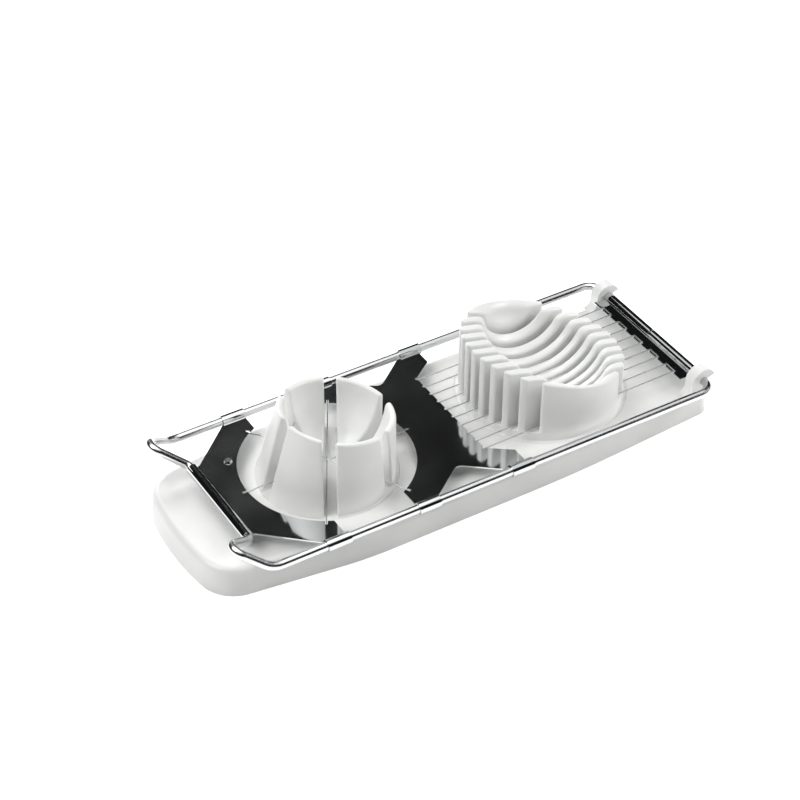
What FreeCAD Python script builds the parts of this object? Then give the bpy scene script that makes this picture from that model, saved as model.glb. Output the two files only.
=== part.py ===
import FreeCAD, Part
import math
import os

# Two-in-one egg cutter: a tray with a wedge cup and a slicing bed, and a hinged
# frame of bent wire that carries two sheet plates, a hinge bar and the cutting wires.
# Millimetres. +X runs along the tray to the hinge, +Y across, +Z up.
# The origin is the middle of the tray's foot. The frame is modelled closed.

# Tray, as its foot outline; the walls lean in by the draft and the corners are rounded
TRAY_HEIGHT = 11.1
TRAY_WALL = 2.2
TRAY_DRAFT = 0.9
TRAY_SOFT_EDGE = 2.6
TRAY_HALF_WIDTH = 36.0
NOSE_X = -103.8
NOSE_RADIUS = 110.0
LEFT_CORNER = (-99.5, 28.8)
LEFT_CORNER_RADIUS = 14.0
LEFT_BEND_X = -46.0
LEFT_BEND_RADIUS = 160.0
RIGHT_BEND_X = 40.0
RIGHT_BEND_RADIUS = 600.0
RIGHT_CORNER = (102.7, 32.0)
RIGHT_CORNER_RADIUS = 5.0
STIFFENER_POSITIONS = (-80.0, 1.0, 88.0)
STIFFENER_THICKNESS = 1.6
STIFFENER_DEPTH = 5.0
REST_PEG_RADIUS = 2.0
REST_PEG_X = -75.0
REST_PEG_Y = 14.0
REST_GAP = 0.3

# Frame wire and hinge
AXIS_HEIGHT = 15.8
HINGE_X = 98.1
ROD_Y = 37.9
ROD_RADIUS = 1.6
CORNER_RADIUS = 5.2
EAR_TIP_X = -98.4
EAR_TIP_Y = 30.8
EAR_TIP_RISE = 10.8
EAR_ROOT_Y = 22.2
EAR_SHOULDER_X = -83.7
EAR_ROOT_RADIUS = 3.0
EAR_TIP_RADIUS = 3.5
EAR_SHOULDER_RADIUS = 9.0
WIRE_END_GAP = 2.0

# Hinge hooks
HOOK_INNER_Y = 28.0
HOOK_OUTER_Y = 32.4
HOOK_RADIUS = 5.0
HINGE_CLEARANCE = 0.06
HOOK_MOUTH_FROM = -95.0
HOOK_MOUTH_TO = 18.0
HOOK_ROOT_RADIUS = 3.0

# Sheet parts
SHEET = 0.5
CURL_CLEARANCE = 0.03
CURL_SLIT = 0.4
TUBE_SHOULDER = 2.8
TUBE_X = -83.9
TUBE_HALF_LENGTH = 20.3
FRONT_SLEEVE = (-63.3, -54.4)
MIDDLE_SLEEVES = ((-27.5, -19.1), (10.3, 19.2))
HOLE_X = -41.6
HOLE_RADIUS = 31.5
FRONT_TAB_EDGE = -55.0
MIDDLE_TAB_EDGE = -27.3
NOTCH_START_X = -18.6
NOTCH_END_X = 9.1
NOTCH_VERTEX_X = -4.4
NOTCH_VERTEX_Y = 25.6
NOTCH_ROUNDING = 3.0
GRID_EDGE_X = 9.0
GRID_EDGE_HALF = 22.9
SHOULDER_X = 17.7
SHOULDER_Y = 29.2
BAR_HALF_LENGTH = 27.3
BAR_LIP_X = 91.1
BAR_SPLIT = 0.7

# Cutting wires
CUT_WIRE_RADIUS = 0.22
CUT_WIRE_CLEARANCE = 0.02
STRAND_COUNT = 10
STRAND_PITCH = 5.0
STRAND_OVERLAP = 1.0
GRID_NOTCH_RADIUS = 0.7
WEDGE_WIRE_STACK = 0.52
WEDGE_NOTCH_WIDTH = 0.9
WEDGE_NOTCH_DEPTH = 1.8
WEDGE_HOOK_LENGTH = 3.0
WEDGE_DIVE_START = 27.0
WEDGE_ANGLES = (0.0, 60.0, 120.0)

# Anchor rivet on the front plate
RIVET_RADIUS = 1.65
RIVET_SHANK = 0.8
RIVET_HEAD = 0.7
RIVET_TAPER = 0.7
RIVET_ANGLE = 150.0
RIVET_REACH = 34.5

# Wedge cup of six hollow fingers; it leans towards the hinge as the swinging wires do
CUP_X = -41.6
CUP_FOOT_RADIUS = 24.8
CUP_RIM_X = -37.5
CUP_RIM_HEIGHT = 37.0
CUP_RIM_RADIUS = 20.9
CUP_TILT = 8.8
CUP_FLARE = 7.7
CUP_RIM_ROUNDING = 0.8
CUP_WELL_DEPTH = 11.5
CUP_BALL_RADIUS = 20.95
CUP_SLOT_X = -40.1
CUP_SLOT_WIDTH = 4.4
CUP_WALL = 2.2
CUP_CORE_TOP = 31.0
CUP_LIP = 0.5

# Slicing bed
BED_X = 48.1
BED_FOOT_RADIUS = 30.2
BED_RIM_RADIUS = 29.7
BED_MID_HEIGHT = 32.3
BED_TILT = 12.6
BED_LIP = 1.3
BED_SLOT = 2.0
DISH_SEMI_X = 23.4
DISH_SEMI_Y = 27.4
DISH_DEPTH = 13.0
DISH_LIFT = 1.0
DISH_END_SHARES = (0.4, 0.7, 0.9, 0.98)

# The cup and the bed stand in round openings of the tray top, held by a flange below it
INSERT_GAP = 0.12
FLANGE_REACH = 2.0
FLANGE_THICKNESS = 1.4
FLANGE_HALF_WIDTH = 31.0

UP = FreeCAD.Vector(0, 0, 1)
ACROSS = FreeCAD.Vector(0, 1, 0)
ALONG = FreeCAD.Vector(1, 0, 0)
CURL_BORE = ROD_RADIUS + CURL_CLEARANCE
CURL_RADIUS = CURL_BORE + SHEET
SIDES = (1, -1)


def vec(x, y, z=0.0):
    return FreeCAD.Vector(x, y, z)


def box_between(low, high):
    size = high - low
    return Part.makeBox(size.x, size.y, size.z, low)


def fused(solids):
    return solids[0].multiFuse(solids[1:]).removeSplitter()


def straight_bar(start, end, radius):
    run = end - start
    return Part.makeCylinder(radius, run.Length, start, run)


def bent_bar(points, bend_radii, radius):
    """A round bar of straight runs through the points, with a tangent bend at each inner one."""
    pieces = []
    run_start = points[0]
    for before, corner, after, bend in zip(points, points[1:], points[2:], bend_radii):
        to_before = (before - corner).normalize()
        to_after = (after - corner).normalize()
        inside_angle = to_before.getAngle(to_after)
        setback = bend / math.tan(inside_angle / 2.0)
        bend_start = corner + to_before * setback
        bisector = (to_before + to_after).normalize()
        bend_centre = corner + bisector * (bend / math.sin(inside_angle / 2.0))
        bend_axis = to_after.cross(to_before).normalize()
        pieces.append(straight_bar(run_start, bend_start, radius))
        section = Part.Face(Part.Wire(Part.Circle(bend_start, to_before, radius).toShape()))
        pieces.append(section.revolve(bend_centre, bend_axis, 180.0 - math.degrees(inside_angle)))
        run_start = corner + to_after * setback
    pieces.append(straight_bar(run_start, points[-1], radius))
    return fused(pieces)


def folded_wire(points, radius):
    """A thin round wire with sharp folds at its points."""
    path = Part.makePolygon(points)
    profile = Part.Wire(Part.Circle(points[0], points[1] - points[0], radius).toShape())
    return path.makePipeShell([profile], True, False, 1)


def flat_sheet(outline):
    """A flat sheet at the rod height. A tuple in the outline is an arc: middle, end."""
    edges = []
    cursor = outline[0]
    for step in outline[1:]:
        if isinstance(step, tuple):
            edges.append(Part.Arc(cursor, step[0], step[1]).toShape())
            cursor = step[1]
        else:
            edges.append(Part.LineSegment(cursor, step).toShape())
            cursor = step
    if not cursor.isEqual(outline[0], 1e-6):
        edges.append(Part.LineSegment(cursor, outline[0]).toShape())
    face = Part.Face(Part.Wire(edges))
    face.translate(vec(0, 0, AXIS_HEIGHT - SHEET / 2.0))
    return face.extrude(UP * SHEET)


def polar(centre_x, radius, degrees):
    angle = math.radians(degrees)
    return vec(centre_x + radius * math.cos(angle), radius * math.sin(angle))


def rounded_outline(corners, height, inset):
    """A closed outline through corners given as (x, y, radius), moved in parallel by the inset."""
    points = [vec(x, y, height) for x, y, radius in corners]
    bends = []
    for index, (x, y, radius) in enumerate(corners):
        to_before = (points[index - 1] - points[index]).normalize()
        to_after = (points[(index + 1) % len(points)] - points[index]).normalize()
        half_angle = to_before.getAngle(to_after) / 2.0
        bisector = (to_before + to_after).normalize()
        corner = points[index] + bisector * (inset / math.sin(half_angle))
        bend = radius - inset
        setback = bend / math.tan(half_angle)
        middle = corner + bisector * (bend / math.sin(half_angle) - bend)
        bends.append((corner + to_before * setback, middle, corner + to_after * setback))
    edges = []
    for index, (start, middle, end) in enumerate(bends):
        edges.append(Part.LineSegment(bends[index - 1][2], start).toShape())
        edges.append(Part.Arc(start, middle, end).toShape())
    return Part.Wire(edges)


def tray_outline(height, inset):
    """The tray's plan at one height, moved in from the foot outline by the inset."""
    far_side = [
        (LEFT_CORNER[0], LEFT_CORNER[1], LEFT_CORNER_RADIUS),
        (LEFT_BEND_X, TRAY_HALF_WIDTH, LEFT_BEND_RADIUS),
        (RIGHT_BEND_X, TRAY_HALF_WIDTH, RIGHT_BEND_RADIUS),
        (RIGHT_CORNER[0], RIGHT_CORNER[1], RIGHT_CORNER_RADIUS),
    ]
    near_side = [(x, -y, radius) for x, y, radius in reversed(far_side)]
    nose = (NOSE_X, 0.0, NOSE_RADIUS)
    return rounded_outline([nose] + far_side + near_side, height, inset)


def tray_block(wall, bottom, top):
    foot = tray_outline(bottom, wall)
    crown = tray_outline(top, wall + TRAY_DRAFT)
    return Part.makeLoft([foot, crown], True, True)


def top_edges(body, height):
    edges = []
    for edge in body.Edges:
        box = edge.BoundBox
        if abs(box.ZMin - height) < 0.01 and abs(box.ZMax - height) < 0.01:
            edges.append(edge)
    return edges


def insert_opening(centre_x, radius):
    return Part.makeCylinder(radius + INSERT_GAP, TRAY_HEIGHT, vec(centre_x, 0))


def stiffener(x):
    low = vec(x - STIFFENER_THICKNESS / 2.0, -ROD_Y, TRAY_HEIGHT - TRAY_WALL - STIFFENER_DEPTH)
    high = vec(x + STIFFENER_THICKNESS / 2.0, ROD_Y, TRAY_HEIGHT - TRAY_WALL)
    return box_between(low, high)


def hinge_hook(side):
    """A C-shaped clip round the hinge wire, open at the lower right, on a leg."""
    width = HOOK_OUTER_Y - HOOK_INNER_Y
    inner_face = HOOK_INNER_Y if side > 0 else -HOOK_OUTER_Y
    axis_point = vec(HINGE_X, inner_face, AXIS_HEIGHT)
    drum = Part.makeCylinder(HOOK_RADIUS, width, axis_point, ACROSS)
    leg_left = HINGE_X - HOOK_RADIUS
    leg_low = vec(leg_left, inner_face, TRAY_HEIGHT - TRAY_WALL / 2.0)
    leg = box_between(leg_low, vec(HINGE_X, inner_face + width, AXIS_HEIGHT))
    root_low = vec(leg_left - HOOK_ROOT_RADIUS, inner_face, TRAY_HEIGHT - TRAY_WALL / 2.0)
    root = box_between(root_low, vec(leg_left, inner_face + width, TRAY_HEIGHT + HOOK_ROOT_RADIUS))
    hollow_axis = vec(leg_left - HOOK_ROOT_RADIUS, inner_face, TRAY_HEIGHT + HOOK_ROOT_RADIUS)
    root = root.cut(Part.makeCylinder(HOOK_ROOT_RADIUS, width, hollow_axis, ACROSS))
    bore = Part.makeCylinder(ROD_RADIUS + HINGE_CLEARANCE, width, axis_point, ACROSS)
    reach = 2.0 * HOOK_RADIUS
    mouth_from = math.radians(HOOK_MOUTH_FROM)
    mouth_to = math.radians(HOOK_MOUTH_TO)
    tip_from = axis_point + vec(math.cos(mouth_from), 0, math.sin(mouth_from)) * reach
    tip_to = axis_point + vec(math.cos(mouth_to), 0, math.sin(mouth_to)) * reach
    far_corner = axis_point + vec(reach, 0, -reach)
    wedge = Part.Face(Part.makePolygon([axis_point, tip_from, far_corner, tip_to, axis_point]))
    mouth = wedge.extrude(ACROSS * width)
    return fused([drum, leg, root]).cut(bore).cut(mouth)


def rest_peg(side):
    """A peg under the front plate that carries the closed frame."""
    foot = vec(REST_PEG_X, side * REST_PEG_Y, TRAY_HEIGHT - TRAY_WALL / 2.0)
    top = AXIS_HEIGHT - SHEET / 2.0 - REST_GAP
    return Part.makeCylinder(REST_PEG_RADIUS, top - foot.z, foot)


def make_base_tray():
    body = tray_block(0.0, 0.0, TRAY_HEIGHT)
    body = body.makeFillet(TRAY_SOFT_EDGE, top_edges(body, TRAY_HEIGHT))
    cavity = tray_block(TRAY_WALL, -TRAY_WALL, TRAY_HEIGHT - TRAY_WALL)
    ribs = [stiffener(x).common(cavity) for x in STIFFENER_POSITIONS]
    body = body.cut(cavity)
    added = [hinge_hook(side) for side in SIDES] + [rest_peg(side) for side in SIDES] + ribs
    body = fused([body] + added)
    body = body.cut(insert_opening(CUP_X, CUP_FOOT_RADIUS + CUP_LIP))
    return body.cut(insert_opening(BED_X, BED_FOOT_RADIUS + BED_LIP))


def insert_foot(centre_x, radius):
    """The flush disc in the tray top with the flange that bears on its underside."""
    underside = TRAY_HEIGHT - TRAY_WALL
    disc = Part.makeCylinder(radius, TRAY_WALL, vec(centre_x, 0, underside))
    flange_low = underside - FLANGE_THICKNESS
    flange = Part.makeCylinder(radius + FLANGE_REACH, FLANGE_THICKNESS, vec(centre_x, 0, flange_low))
    flange = flange.cut(Part.makeCylinder(radius - TRAY_WALL, FLANGE_THICKNESS, vec(centre_x, 0, flange_low)))
    reach = radius + 2.0 * FLANGE_REACH
    room_low = vec(centre_x - reach, -FLANGE_HALF_WIDTH, flange_low)
    room = box_between(room_low, vec(centre_x + reach, FLANGE_HALF_WIDTH, TRAY_HEIGHT))
    return disc.fuse(flange.common(room))


def across_cup(degrees, width, low):
    """A box right across the cup along one wedge wire, from a height upwards."""
    half = width / 2.0
    reach = 2.0 * CUP_FOOT_RADIUS
    body = box_between(vec(-reach, -half, low), vec(reach, half, 2.0 * CUP_RIM_HEIGHT))
    body.rotate(vec(0, 0), UP, degrees)
    body.translate(vec(CUP_SLOT_X, 0))
    return body


def cup_profile():
    """Half of the upright cup's section: round well, soft-edged rim at zero height, flared wall."""
    soft = CUP_RIM_ROUNDING
    flare = math.radians(CUP_FLARE)
    ball = vec(0, 0, CUP_BALL_RADIUS - CUP_WELL_DEPTH)
    inner_reach = math.sqrt((CUP_BALL_RADIUS + soft) ** 2 - (ball.z + soft) ** 2)
    inner = vec(inner_reach, 0, -soft)
    outer = vec(CUP_RIM_RADIUS - soft * (1.0 - math.sin(flare)) / math.cos(flare), 0, -soft)
    to_rim = (inner - ball).normalize()
    to_wall = vec(math.cos(flare), 0, math.sin(flare))
    well_bottom = ball - UP * CUP_BALL_RADIUS
    well_middle = ball + (to_rim - UP).normalize() * CUP_BALL_RADIUS
    well_end = ball + to_rim * CUP_BALL_RADIUS
    wall_top = outer + to_wall * soft
    wall_foot = wall_top + vec(math.sin(flare), 0, -math.cos(flare)) * (2.0 * CUP_FOOT_RADIUS)
    edges = [
        Part.Arc(well_bottom, well_middle, well_end).toShape(),
        Part.Arc(well_end, inner + (UP - to_rim).normalize() * soft, inner + UP * soft).toShape(),
        Part.LineSegment(inner + UP * soft, outer + UP * soft).toShape(),
        Part.Arc(outer + UP * soft, outer + (UP + to_wall).normalize() * soft, wall_top).toShape(),
    ]
    closing = Part.makePolygon([wall_top, wall_foot, vec(0, 0, wall_foot.z), well_bottom])
    return Part.Face(Part.Wire(edges + closing.Edges))


def leaned(shape, bottom):
    """Lean an upright cup shape, put its rim centre in place and cut its foot off level."""
    shape.rotate(vec(0, 0), ACROSS, CUP_TILT)
    shape.translate(vec(CUP_RIM_X, 0, CUP_RIM_HEIGHT))
    reach = 3.0 * CUP_FOOT_RADIUS
    below = box_between(vec(CUP_X - reach, -reach, -reach), vec(CUP_X + reach, reach, bottom))
    return shape.cut(below)


def cup_cores():
    """The six hollows that run up inside the fingers from below."""
    underside = TRAY_HEIGHT - TRAY_WALL
    depth = 2.0 * CUP_FOOT_RADIUS
    top_radius = CUP_RIM_RADIUS - CUP_WALL
    foot_radius = top_radius + depth * math.tan(math.radians(CUP_FLARE))
    cores = Part.makeCone(foot_radius, top_radius, depth, vec(0, 0, -depth))
    ball = vec(0, 0, CUP_BALL_RADIUS - CUP_WELL_DEPTH)
    cores = leaned(cores.cut(Part.makeSphere(CUP_BALL_RADIUS + CUP_WALL, ball)), underside)
    reach = 2.0 * CUP_FOOT_RADIUS
    above = box_between(vec(CUP_X - reach, -reach, CUP_CORE_TOP), vec(CUP_X + reach, reach, 2.0 * CUP_RIM_HEIGHT))
    cores = cores.cut(above)
    for degrees in WEDGE_ANGLES:
        cores = cores.cut(across_cup(degrees, CUP_SLOT_WIDTH + 2.0 * CUP_WALL, underside))
    return cores


def make_wedge_cup():
    body = leaned(cup_profile().revolve(vec(0, 0), UP, 360.0), TRAY_HEIGHT)
    body = body.fuse(insert_foot(CUP_X, CUP_FOOT_RADIUS + CUP_LIP)).removeSplitter()
    body = body.cut(cup_cores())
    for degrees in WEDGE_ANGLES:
        body = body.cut(across_cup(degrees, CUP_SLOT_WIDTH, TRAY_HEIGHT))
    return body


def strand_positions():
    first = (STRAND_COUNT - 1) * STRAND_PITCH / 2.0
    return [first - index * STRAND_PITCH for index in range(STRAND_COUNT)]


def tilted(shape):
    """Turn a shape about the bed's middle into the slope of its rim."""
    shape.rotate(vec(BED_X, 0, BED_MID_HEIGHT), ACROSS, BED_TILT)
    return shape


def dish_section(y):
    """The dish's outline across the bed at one place along the egg."""
    shrink = math.sqrt(1.0 - (y / DISH_SEMI_Y) ** 2)
    centre = vec(BED_X, y, BED_MID_HEIGHT + DISH_LIFT)
    far_x = centre + ALONG * (DISH_SEMI_X * shrink)
    top_z = centre + UP * (DISH_DEPTH * shrink)
    return Part.Wire(Part.Ellipse(far_x, top_z, centre).toShape())


def dish_stations():
    """Places for the dish's sections: both faces of every slot, and closer steps at its ends."""
    half_slot = BED_SLOT / 2.0
    faces = [y + step for y in strand_positions() for step in (half_slot, -half_slot)]
    outermost = faces[0]
    steps = [outermost + (DISH_SEMI_Y - outermost) * share for share in DISH_END_SHARES]
    return sorted(faces + steps + [-y for y in steps])


def make_slicing_bed():
    floor = TRAY_HEIGHT - TRAY_WALL
    crown = BED_MID_HEIGHT + BED_FOOT_RADIUS
    drum = Part.makeCone(BED_FOOT_RADIUS, BED_RIM_RADIUS, crown - floor, vec(BED_X, 0, floor))
    reach = 2.0 * BED_FOOT_RADIUS
    above = box_between(vec(BED_X - reach, -reach, BED_MID_HEIGHT), vec(BED_X + reach, reach, BED_MID_HEIGHT + reach))
    dish = Part.makeLoft([dish_section(y) for y in dish_stations()], True, True)
    body = drum.cut(tilted(above)).cut(tilted(dish))
    body = body.fuse(insert_foot(BED_X, BED_FOOT_RADIUS + BED_LIP)).removeSplitter()
    for y in strand_positions():
        low = vec(BED_X - reach, y - BED_SLOT / 2.0, TRAY_HEIGHT)
        body = body.cut(box_between(low, vec(BED_X + reach, y + BED_SLOT / 2.0, crown)))
    return body


def make_frame_wire():
    """One bent wire: tube end, ear, rod, corner, hinge, corner, rod, ear, tube end."""
    height = AXIS_HEIGHT
    far_half = [
        vec(TUBE_X, WIRE_END_GAP / 2.0, height),
        vec(TUBE_X, EAR_ROOT_Y, height),
        vec(EAR_TIP_X, EAR_TIP_Y, height + EAR_TIP_RISE),
        vec(EAR_SHOULDER_X, ROD_Y, height),
        vec(HINGE_X, ROD_Y, height),
    ]
    near_half = [vec(point.x, -point.y, point.z) for point in reversed(far_half)]
    half_radii = [EAR_ROOT_RADIUS, EAR_TIP_RADIUS, EAR_SHOULDER_RADIUS, CORNER_RADIUS]
    return bent_bar(far_half + near_half, half_radii + half_radii[::-1], ROD_RADIUS)


def sleeve(span, side):
    start = vec(span[0], side * ROD_Y, AXIS_HEIGHT)
    end = vec(span[1], side * ROD_Y, AXIS_HEIGHT)
    return start, end


def sheet_curl(start, end, inward):
    """Sheet rolled round a wire; the slit lies just under the flat it rolls from."""
    axis = end - start
    body = Part.makeCylinder(CURL_RADIUS, axis.Length, start, axis)
    bore = Part.makeCylinder(CURL_BORE, axis.Length, start, axis)
    slit_top = -SHEET / 2.0
    reach = CURL_RADIUS + SHEET
    corner_a = start + inward * (ROD_RADIUS / 2.0) + UP * (slit_top - CURL_SLIT)
    corner_b = end + inward * reach + UP * slit_top
    low = vec(min(corner_a.x, corner_b.x), min(corner_a.y, corner_b.y), corner_a.z)
    high = vec(max(corner_a.x, corner_b.x), max(corner_a.y, corner_b.y), corner_b.z)
    return body.cut(bore).cut(box_between(low, high))


def plate_sleeves(spans):
    curls = []
    for span in spans:
        for side in SIDES:
            start, end = sleeve(span, side)
            curls.append(sheet_curl(start, end, ACROSS * -side))
    return curls


def wedge_notch(degrees):
    """The cut in a hole edge that a wedge wire passes down through."""
    half = WEDGE_NOTCH_WIDTH / 2.0
    low = vec(HOLE_RADIUS - WEDGE_NOTCH_DEPTH, -half, AXIS_HEIGHT - SHEET)
    notch = box_between(low, vec(HOLE_RADIUS + WEDGE_NOTCH_DEPTH, half, AXIS_HEIGHT + SHEET))
    notch.rotate(vec(0, 0), UP, degrees)
    notch.translate(vec(HOLE_X, 0))
    return notch


def rod_bore(spans):
    """Room for the wire inside the sleeves, where the flat meets them."""
    bores = []
    for span in spans:
        for side in SIDES:
            start, end = sleeve(span, side)
            bores.append(Part.makeCylinder(CURL_BORE, (end - start).Length, start, ALONG))
    return bores


def hole_edge(edge_x):
    """The point of the round hole where a tab's straight edge meets it."""
    run = edge_x - HOLE_X
    return vec(edge_x, math.sqrt(HOLE_RADIUS ** 2 - run ** 2))


def mirror_y(point):
    return vec(point.x, -point.y, point.z)


def rivet_place():
    return polar(HOLE_X, RIVET_REACH, RIVET_ANGLE)


def make_front_plate():
    rod_edge = ROD_Y - ROD_RADIUS
    tube_edge = vec(TUBE_X, TUBE_HALF_LENGTH)
    slant_start = vec(TUBE_X + TUBE_SHOULDER, TUBE_HALF_LENGTH)
    tab_start = vec(FRONT_SLEEVE[0], rod_edge)
    tab_end = vec(FRONT_TAB_EDGE, rod_edge)
    hole_far = hole_edge(FRONT_TAB_EDGE)
    hole_left = vec(HOLE_X - HOLE_RADIUS, 0)
    far_half = [tube_edge, slant_start, tab_start, tab_end, hole_far]
    near_half = [mirror_y(point) for point in reversed(far_half)]
    outline = far_half + [(hole_left, near_half[0])] + near_half[1:]
    tube_start = vec(TUBE_X, -TUBE_HALF_LENGTH, AXIS_HEIGHT)
    tube_end = vec(TUBE_X, TUBE_HALF_LENGTH, AXIS_HEIGHT)
    tube = sheet_curl(tube_start, tube_end, ALONG)
    plate = fused([flat_sheet(outline), tube] + plate_sleeves([FRONT_SLEEVE]))
    plate = plate.cut(Part.makeCylinder(CURL_BORE, 2.0 * TUBE_HALF_LENGTH, tube_start, ACROSS))
    for bore in rod_bore([FRONT_SLEEVE]):
        plate = plate.cut(bore)
    for degrees in WEDGE_ANGLES:
        plate = plate.cut(wedge_notch(degrees + 180.0))
        plate = plate.cut(wedge_notch(degrees))
    hole = Part.makeCylinder(RIVET_SHANK, TRAY_HEIGHT, rivet_place() + UP * TRAY_HEIGHT)
    return plate.cut(hole)


def make_middle_plate():
    rod_edge = ROD_Y - ROD_RADIUS
    hole_far = hole_edge(MIDDLE_TAB_EDGE)
    tab_start = vec(MIDDLE_TAB_EDGE, rod_edge)
    tab_end = vec(NOTCH_START_X, rod_edge)
    vertex = vec(NOTCH_VERTEX_X, NOTCH_VERTEX_Y)
    second_start = vec(NOTCH_END_X, rod_edge)
    second_end = vec(SHOULDER_X, rod_edge)
    shoulder = vec(SHOULDER_X, SHOULDER_Y)
    grid_end = vec(GRID_EDGE_X, GRID_EDGE_HALF)
    far_half = [hole_far, tab_start, tab_end, vertex, second_start, second_end, shoulder, grid_end]
    near_half = [mirror_y(point) for point in reversed(far_half)]
    hole_right = vec(HOLE_X + HOLE_RADIUS, 0)
    outline = far_half + near_half + [(hole_right, hole_far)]
    sheet = flat_sheet(outline)
    notch_roots = []
    for edge in sheet.Edges:
        middle = edge.CenterOfMass
        upright = edge.BoundBox.ZLength > SHEET / 2.0
        if upright and abs(middle.x - NOTCH_VERTEX_X) < 0.1:
            notch_roots.append(edge)
    sheet = sheet.makeFillet(NOTCH_ROUNDING, notch_roots)
    plate = fused([sheet] + plate_sleeves(MIDDLE_SLEEVES))
    for bore in rod_bore(MIDDLE_SLEEVES):
        plate = plate.cut(bore)
    for degrees in WEDGE_ANGLES:
        plate = plate.cut(wedge_notch(degrees + 180.0))
        plate = plate.cut(wedge_notch(degrees))
    for y in strand_positions():
        plate = plate.cut(Part.makeCylinder(GRID_NOTCH_RADIUS, TRAY_HEIGHT, vec(GRID_EDGE_X, y, TRAY_HEIGHT)))
    return plate


def make_hinge_bar():
    outline = [vec(BAR_LIP_X, BAR_HALF_LENGTH), vec(HINGE_X, BAR_HALF_LENGTH)]
    outline += [mirror_y(point) for point in reversed(outline)]
    start = vec(HINGE_X, -BAR_HALF_LENGTH, AXIS_HEIGHT)
    end = vec(HINGE_X, BAR_HALF_LENGTH, AXIS_HEIGHT)
    bar = fused([flat_sheet(outline), sheet_curl(start, end, ALONG * -1.0)])
    bar = bar.cut(Part.makeCylinder(CURL_BORE, 2.0 * BAR_HALF_LENGTH, start, ACROSS))
    half = BAR_SPLIT / 2.0
    split_low = vec(HINGE_X - CURL_BORE, -half, AXIS_HEIGHT - 2.0 * CURL_RADIUS)
    split_high = vec(HINGE_X + 2.0 * CURL_RADIUS, half, AXIS_HEIGHT + 2.0 * CURL_RADIUS)
    bar = bar.cut(box_between(split_low, split_high))
    for y in strand_positions():
        bar = bar.cut(Part.makeCylinder(GRID_NOTCH_RADIUS, TRAY_HEIGHT, vec(BAR_LIP_X, y, TRAY_HEIGHT)))
    return bar


def make_slicing_wire():
    """One wire to and fro: under the plate's edge at one end, over the bar's lip at the other."""
    offset = SHEET / 2.0 + CUT_WIRE_RADIUS + CUT_WIRE_CLEARANCE
    plate_end = GRID_EDGE_X - STRAND_OVERLAP
    bar_end = BAR_LIP_X + STRAND_OVERLAP
    points = []
    for index, y in enumerate(strand_positions()):
        at_plate = vec(plate_end, y, AXIS_HEIGHT - offset)
        at_bar = vec(bar_end, y, AXIS_HEIGHT + offset)
        pair = [at_plate, at_bar] if index % 2 == 0 else [at_bar, at_plate]
        points += pair
    return folded_wire(points, CUT_WIRE_RADIUS)


def make_wedge_wire(degrees, lift):
    """A straight wire across the hole whose ends dive through notches under the plates."""
    under = AXIS_HEIGHT - SHEET / 2.0 - CUT_WIRE_RADIUS - CUT_WIRE_CLEARANCE
    level = AXIS_HEIGHT + lift
    dive_end = HOLE_RADIUS + CUT_WIRE_RADIUS
    half = [vec(WEDGE_DIVE_START, 0, level), vec(dive_end, 0, under), vec(dive_end + WEDGE_HOOK_LENGTH, 0, under)]
    other = [vec(-point.x, 0, point.z) for point in reversed(half)]
    wire = folded_wire(other + half, CUT_WIRE_RADIUS)
    wire.rotate(vec(0, 0), UP, degrees)
    wire.translate(vec(HOLE_X, 0))
    return wire


def make_anchor_rivet():
    place = rivet_place()
    top = AXIS_HEIGHT + SHEET / 2.0
    bottom = AXIS_HEIGHT - SHEET / 2.0
    shank = Part.makeCylinder(RIVET_SHANK, SHEET, place + UP * bottom)
    head = Part.makeCone(RIVET_RADIUS, RIVET_RADIUS * RIVET_TAPER, RIVET_HEAD, place + UP * top)
    tail_foot = place + UP * (bottom - RIVET_HEAD)
    tail = Part.makeCone(RIVET_RADIUS * RIVET_TAPER, RIVET_RADIUS, RIVET_HEAD, tail_foot)
    return fused([shank, head, tail])


def build():
    os.makedirs("parts", exist_ok=True)
    nodes = {
        "base_tray": make_base_tray(),
        "wedge_cup": make_wedge_cup(),
        "slicing_bed": make_slicing_bed(),
        "frame_wire": make_frame_wire(),
        "front_plate": make_front_plate(),
        "middle_plate": make_middle_plate(),
        "hinge_bar": make_hinge_bar(),
        "slicing_wire": make_slicing_wire(),
        "anchor_rivet": make_anchor_rivet(),
    }
    lifts = (0.0, -WEDGE_WIRE_STACK, WEDGE_WIRE_STACK)
    for number, (degrees, lift) in enumerate(zip(WEDGE_ANGLES, lifts), start=1):
        nodes["wedge_wire_%d" % number] = make_wedge_wire(degrees, lift)
    for name, shape in nodes.items():
        shape.exportStep("parts/%s.step" % name)
        print(name, shape.isValid(), len(shape.Solids), round(shape.Volume, 1), shape.optimalBoundingBox(False))


build()
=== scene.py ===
"""Finishes and studio of an egg slicer with a wedge cup, a slicing bed and a wire frame."""

import math

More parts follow.
